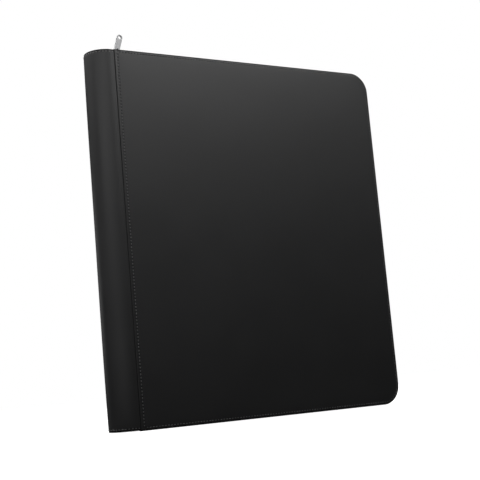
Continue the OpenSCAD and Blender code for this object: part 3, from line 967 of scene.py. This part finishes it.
def holed_plate(outline, holes, levels):
    """A plate with round (centre, radius, sides) holes, its rims eased in (inset, height) levels."""
    loops = [outline] + [circle_points(radius, sides, centre) for centre, radius, sides in holes]
    points, faces, ends, start = [], [], {0: [], len(levels) - 1: []}, 0
    for number, loop in enumerate(loops):
        sign = -1 if number else 1
        for k, (inset, y) in enumerate(levels):
            ring = inset_outline(loop, inset * sign)
            points.append(np.insert(ring, 1, y, axis=1))
            if k in ends:
                ends[k].append((start + k * len(loop), ring))
        quads = grid_faces(len(levels), len(loop), wrap_cols=True) + start
        faces += [list(q)[::sign] for q in quads]
        start += len(loop) * len(levels)
    open_discs = [(np.array(centre), radius + levels[0][0]) for centre, radius, _ in holes]
    for k, rings in ends.items():
        faces += [f if k else f[::-1] for f in flat_face(rings, open_discs)]
    return np.vstack(points), faces


def flat_face(rings, open_discs):
    """Triangles between (first index, ring) outlines, but none inside the open discs."""
    flat = [Vector(p) for _, ring in rings for p in ring]
    index = [first + i for first, ring in rings for i in range(len(ring))]
    edges, base = [], 0
    for _, ring in rings:
        edges += [(base + i, base + (i + 1) % len(ring)) for i in range(len(ring))]
        base += len(ring)
    found = geometry.delaunay_2d_cdt(flat, edges, [], 1, 1e-7)
    faces = []
    for f in found[2]:
        middle = np.mean([flat[found[3][i][0]] for i in f], axis=0)
        if all(np.linalg.norm(middle - centre) >= radius for centre, radius in open_discs):
            faces.append([index[found[3][i][0]] for i in f])
    return faces


def pull_tab():
    """The flat pull: an eye, straight sides, a round tip with an open hole, and eased rims."""
    _, eye, up, across, face = pull_axes()
    hole = place_of(frame["record"]["mounts"], "pull_hole")
    long = np.linalg.norm(hole - eye) / MM
    base_r, base_drop, eye_hole, tip_r, tip_hole, half_t = 2.2, 1.66, 0.8, 2.85, 1.65, 0.8
    ease, land = 0.18, 0.42
    tip = [(tip_r * math.cos(t), long + tip_r * math.sin(t)) for t in np.linspace(0, math.pi, 33)]
    neck = [(-tip_r, z) for z in np.linspace(long - 1.5, 1.0, 9)]
    base = [(-tip_r + base_r - base_r * math.cos(t), -base_drop * math.sin(t))
            for t in np.linspace(0, math.pi / 2, 8)]
    half = neck + base
    outline = np.array(tip + half + [(-x, z) for x, z in half[::-1]])
    holes = [((0, 0), eye_hole, 28), ((0, long), tip_hole, 40)]
    levels = [(land, -half_t), (ease, -half_t), (ease * 0.3, -half_t + ease * 0.3), (0, -half_t + ease),
              (0, half_t - ease), (ease * 0.3, half_t - ease * 0.3), (ease, half_t), (land, half_t)]
    points, faces = holed_plate(outline, holes, levels)
    p = points * MM
    placed = eye + p[:, :1] * face + p[:, 1:2] * across + p[:, 2:] * up
    obj = make_piece("zip_pull", placed, faces, pull_nickel, "pull_tab")
    obj.data.set_sharp_from_angle(angle=math.radians(50))
    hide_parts("pull_tab")


# ---------------------------------------------------------------- pages
POCKETS = 3
POCKET_W, POCKET_H, MARGIN = 72.0, 98.0, 19.0


def page_wave(x, z, number):
    """The slight curl of a page, in mm; neighbours curl alike, so they stay apart."""
    reach = x / 240
    return (0.22 * np.sin(z / 61 + 0.6) * reach + 0.12 * np.sin(z / 23 + x / 37) * reach
            + 0.05 * np.sin(number * 2.4 + z / 40) * reach)


def film_profile():
    """Places across one pocket film and how far it stands off the sheet there."""
    across = [(0.0, 0.02), (1.0, 0.02), (1.3, 0.1), (3.0, 0.17), (10, 0.2), (30, 0.22), (52, 0.22),
              (64, 0.2), (69, 0.19), (70.6, 0.2), (71.0, 0.21)]
    up = [(0.0, 0.0), (0.9, 0.0), (1.3, 0.6), (3.0, 0.85), (10, 0.95), (30, 1.0), (49, 1.0)]
    up += [(POCKET_H - z, h) for z, h in up[-2::-1]]
    return np.array(across), np.array(up)


def page_sheet(origin, w, h, number):
    """Points and faces of the embossed black sheet, from its lowest corner."""
    r = 5.0
    xs = np.array([0, 3, 6.2, 6.7, 7.2, 7.7, 10.2, 10.7, 11.2, 14, 19, 40, 64, 90, 115, 140, 165, 190,
                   215, w - 5, w - 3, w - 1.4, w - 0.4, w])
    zs = np.array([0, 0.4, 1.5, 3, 5, 20, 40, 60, 85, 104, 128, 153, 178, 202, 225, 250, 270, 290,
                   h - 5, h - 3, h - 1.5, h - 0.4, h])
    groove = {6.7: 0.09, 7.2: 0.09, 10.7: 0.09}
    grid_x, grid_z = np.meshgrid(xs, zs)
    into = np.clip(r - np.minimum(grid_z, h - grid_z), 0, r)
    reach = w - (r - np.sqrt(r * r - into ** 2))
    grid_x = np.where(grid_x > w - r, w - r + (grid_x - w + r) * (reach - w + r) / r, grid_x)
    wave = page_wave(grid_x, grid_z, number)
    thin = np.array([groove.get(round(float(x), 1), 0.0) for x in xs])[None, :]
    edge = np.minimum.reduce([grid_x, reach - grid_x, grid_z, h - grid_z])
    half = 0.15 - thin - 0.08 * (edge < 0.1)
    points, faces, count = [], [], grid_x.size
    for face in (-1, 1):
        y = origin[1] + wave + face * half
        points.append(np.column_stack([origin[0] + grid_x.ravel(), y.ravel(), origin[2] + grid_z.ravel()]))
        quads = grid_faces(len(zs), len(xs)) + (count if face > 0 else 0)
        faces += [list(q) if face < 0 else list(q)[::-1] for q in quads]
    border = list(range(len(xs))) + [k * len(xs) + len(xs) - 1 for k in range(1, len(zs))]
    border += [(len(zs) - 1) * len(xs) + i for i in range(len(xs) - 2, -1, -1)]
    border += [k * len(xs) for k in range(len(zs) - 2, 0, -1)]
    faces += [[b, a, a + count, b + count] for a, b in zip(border, border[1:] + border[:1])]
    return np.vstack(points), faces


def page_films(origin, h, number):
    """The (points, faces) of each clear film, and which points are on a film's welds."""
    across, up = film_profile()
    film_z = np.concatenate([2 + up[:-1, 0] + k * POCKET_H + 4 for k in range(POCKETS)]
                            + [[6 + POCKETS * POCKET_H]])
    film_z[0], film_z[-1] = 2.5, h - 2.5
    rise_z = np.concatenate([up[:-1, 1]] * POCKETS + [[0.0]])
    stand = 0.155 + across[None, :, 1] * rise_z[:, None] * 0.7 + 0.02
    weld = (across[None, :, 1] < 0.05) | (rise_z[:, None] < 0.1)
    films = []
    for face in (-1, 1):
        for column in range(POCKETS):
            right = MARGIN + (column + 1) * POCKET_W + 1.5
            gx, gz = np.meshgrid(right - across[:, 0], film_z)
            y = origin[1] + page_wave(gx, gz, number) + face * stand
            points = np.column_stack([origin[0] + gx.ravel(), y.ravel(), origin[2] + gz.ravel()])
            films.append((points, [list(q)[::face] for q in grid_faces(*gx.shape)]))
    return films, np.tile(weld.ravel(), len(films))


def page(number):
    """One pocket page: an embossed black sheet with three side-loading clear films on each face."""
    name = f"page_{number:02d}"
    low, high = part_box(name)
    origin = ((low.x - SEAM) / MM, (low.y + high.y) / 2 / MM, low.z / MM)
    h = (high.z - low.z) / MM
    sheet = page_sheet(origin, (high.x - low.x) / MM, h, number)
    films, welds = page_films(origin, h, number)
    points, faces = merge([sheet] + films)
    obj = make_piece(f"{name}_pockets", spine_to_frame(points), faces, sheet_plastic, name)
    obj.data.materials.append(film)
    of_sheet = len(sheet[1])
    obj.data.polygons.foreach_set("material_index", [0] * of_sheet + [1] * (len(faces) - of_sheet))
    set_values(obj, "weld", np.concatenate([np.zeros(len(sheet[0])), welds]))
    obj.data.set_sharp_from_angle(angle=math.radians(50))
    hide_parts(name)


# ---------------------------------------------------------------- everything in place
def finish_node(name, material, width=None, segments=2):
    """Gives a CAD node that stays its material and, where wanted, softened edges."""
    node = frame["nodes"][name]
    node.data.materials.clear()
    node.data.materials.append(material)
    if width:
        soften(node, width, segments)


def build_cover(side, body):
    tag = body.split("_")[0]
    cover_skin(side, body, f"{tag}_cover_panel", [f"{tag}_skin"])
    edge = rim_line(EDGE_STITCH)
    total = length_along(edge)[-1]
    row = stitches(f"{tag}_edge_stitches", edge, EDGE_ROW_END, total - EDGE_ROW_END, STITCH_BED,
                   side, body)
    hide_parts(f"{tag}_edge_thread")
    seam = seam_line(SEAM_STITCH, 0.0)[::-1]
    row = stitches(f"{tag}_seam_stitches", seam, SEAM_ROW_END - LINE_STEP,
                   COVER_H - SEAM_ROW_END - LINE_STEP, STITCH_BED, side, body)
    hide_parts(f"{tag}_seam_thread")
    cover_lining(side, body, f"{tag}_cover_lining", f"{tag}_lining")
    zip_tape(side, body, f"{tag}_tape_cloth", f"{tag}_zip_tape")
    zip_coil(side, body, f"{tag}_zip_coil", f"{tag}_zip_teeth")
    line = rim_line(TAPE_STITCH, start=TAPE_START)
    stitches(f"{tag}_tape_stitches", line, TAPE_ROW_END, length_along(line)[-1] - TAPE_ROW_END,
             TAPE_BED, side, body, -1)
    finish_node(f"{tag}_zip_stops", nickel, 0.35, 3)
    finish_node(f"{tag}_padding", foam)
    finish_node(f"{tag}_board", board)


def build_spine():
    spine_wrap()
    spine_hem_stitches()
    spine_lining()
    zip_end_tab("zip_end_tab_top", COVER_H - CHAIN_MID)
    zip_end_tab("zip_end_tab_bottom", CHAIN_MID)
    finish_node("spine_board", board)
    finish_node("spine_filler", foam, 0.6)
    finish_node("binding_block", plastic, 0.12, 1)
    finish_node("binding_thread", waxed)
    finish_node("page_margins", sheet_plastic)


leather = leather_material()
thread = thread_material("thread", (0.11, 0.11, 0.112))
waxed = thread_material("binding_thread", (0.62, 0.58, 0.5))
nickel = metal_material("slider_nickel", (0.34, 0.34, 0.345), 0.33, (1, 1, 1))
pull_nickel = metal_material("pull_nickel", (0.29, 0.29, 0.295), 0.42, (1, 1, 0.08), 0.97)
cloth = cloth_material()
tape = tape_material()
nylon = nylon_material()
foam = foam_material()
board = board_material()
plastic = plastic_material("binding_strip", (0.02, 0.02, 0.021), 0.5)
sheet_plastic = plastic_material("page_sheet", (0.018, 0.018, 0.02), 0.42)
film = film_material()

build_spine()
for cover_side, cover_body in ((FRONT, "front_cover"), (BACK, "back_cover")):
    build_cover(cover_side, cover_body)
    hinge_strip(cover_side, cover_body)
slider()
bail()
pull_link()
pull_tab()
for page_number in range(1, 21):
    page(page_number)


# ---------------------------------------------------------------- camera
# The viewer stands in front of the spine, a little above the lower edge, and looks up and right.
VIEW_YAW = 31.18  # degrees, to the right of square on
VIEW_PITCH = 8.16
VIEW_ROLL = 5.02
VIEW_LEFT = 0.3769  # of the seam
VIEW_AWAY = 0.8173  # from the front cover
VIEW_HEIGHT = 0.033
LENS = 75.3


def camera():
    data = bpy.data.cameras.new("camera")
    data.lens = LENS
    data.sensor_width = 36
    data.clip_start = 0.01
    obj = bpy.data.objects.new("camera", data)
    bpy.context.scene.collection.objects.link(obj)
    obj.location = (SEAM - VIEW_LEFT, -HALF_T - VIEW_AWAY, VIEW_HEIGHT)
    look = Euler((math.radians(90 + VIEW_PITCH), 0, math.radians(-VIEW_YAW)), "XYZ").to_quaternion()
    roll = Euler((0, 0, math.radians(-VIEW_ROLL)), "XYZ").to_quaternion()
    obj.rotation_mode = "QUATERNION"
    obj.rotation_quaternion = look @ roll
    bpy.context.scene.camera = obj


# ---------------------------------------------------------------- studio
FLOOR_SIZE = 6.0
LIGHT_AWAY = 1.6  # metres from the middle of the binder
LIGHT_SIZE = (0.9, 0.42)
# Softboxes as azimuth (from the front cover's facing, towards the fore edge), height angle, watts:
# a key over the front right, a low bank round the front, a ring of them past the spine and behind
# it, and three on the fore edge's side for the views from there.
SOFTBOXES = {
    "key": (30, 34, 6), "front": (0, 34, 1.6), "front_low": (0, 20, 0.4), "right_low": (60, 20, 0.5),
    "left": (-30, 34, 2.5), "left_low": (-30, 20, 1.3), "spine_side": (-60, 20, 2),
    "spine_low": (-90, 6, 0.4), "spine_high": (-90, 50, 1), "rear_left": (-120, 50, 22),
    "rear_mid": (-150, 34, 0.8), "rear_low": (-150, 5, 0.6), "rear_side": (-120, 20, 0.3),
    "rear_right": (150, 50, 0.2), "top": (0, 88, 0.4), "fore_side": (95, 15, 5),
    "fore_high": (105, 45, 6), "back_side": (125, 10, 4),
}


def floor():
    """A pale floor that glows to white; its glow is painted dimmer near the binder, a painted shadow round
    where its real shadow falls.
    """
    m = Surface("floor", (0.5, 0.5, 0.5), 0.9, Specular_IOR_Level=0.0, Emission_Color=(1, 1, 1, 1))
    distance = m.nodes.new("ShaderNodeVectorMath")
    distance.operation = "LENGTH"
    m.feed(distance.inputs[0], m.coords())
    # painted shadow: the glow weakens towards the binder's middle
    m.set("Emission Strength", m.remap(distance.outputs["Value"], 0.3, 1.5, 0.82, 1.0))
    corners = [(x * FLOOR_SIZE, y * FLOOR_SIZE, 0) for x, y in ((-1, -1), (1, -1), (1, 1), (-1, 1))]
    obj = make_piece("floor", corners, [[0, 1, 2, 3]], m.material, None)
    obj.visible_diffuse = False
    obj.visible_glossy = False


def softbox(name, azimuth, height, power):
    """A rectangular area light on a circle round the binder, facing its middle."""
    light = bpy.data.lights.new(name, "AREA")
    light.shape = "RECTANGLE"
    light.size, light.size_y = LIGHT_SIZE
    light.energy = power
    a, h = math.radians(azimuth), math.radians(height)
    away = Vector((math.sin(a) * math.cos(h), -math.cos(a) * math.cos(h), math.sin(h)))
    obj = bpy.data.objects.new(name, light)
    obj.location = Vector((0, 0, COVER_H / 2 * MM)) + away * LIGHT_AWAY
    obj.rotation_mode = "QUATERNION"
    obj.rotation_quaternion = (-away).to_track_quat("-Z", "Y")
    bpy.context.scene.collection.objects.link(obj)


def floor_card(name, azimuth, reach, size, power):
    """A glowing card lying on the floor, which gives the lower half of the leather its sheen."""
    light = bpy.data.lights.new(name, "AREA")
    light.size = size
    light.energy = power
    a = math.radians(azimuth)
    obj = bpy.data.objects.new(name, light)
    obj.location = (math.sin(a) * reach, -math.cos(a) * reach, 0.004)
    obj.rotation_euler = (math.pi, 0, math.pi / 2 - a)
    bpy.context.scene.collection.objects.link(obj)


def world(ambient):
    """White behind the object, with a much dimmer even light on it."""
    w = bpy.data.worlds.new("studio")
    w.use_nodes = True
    nodes, links = w.node_tree.nodes, w.node_tree.links
    background = nodes["Background"]
    background.inputs["Color"].default_value = (1, 1, 1, 1)
    blend = nodes.new("ShaderNodeMapRange")
    blend.inputs["To Min"].default_value = ambient
    links.new(nodes.new("ShaderNodeLightPath").outputs["Is Camera Ray"], blend.inputs["Value"])
    links.new(blend.outputs["Result"], background.inputs["Strength"])
    bpy.context.scene.world = w


camera()
floor()
world(0.015)
for box_name, (box_azimuth, box_height, box_power) in SOFTBOXES.items():
    softbox(box_name, box_azimuth, box_height, box_power)
floor_card("card_front", -45, 0.62, 0.6, 0.8)
floor_card("card_back", 135, 0.62, 0.6, 1.5)
bpy.context.scene.view_settings.view_transform = "Standard"
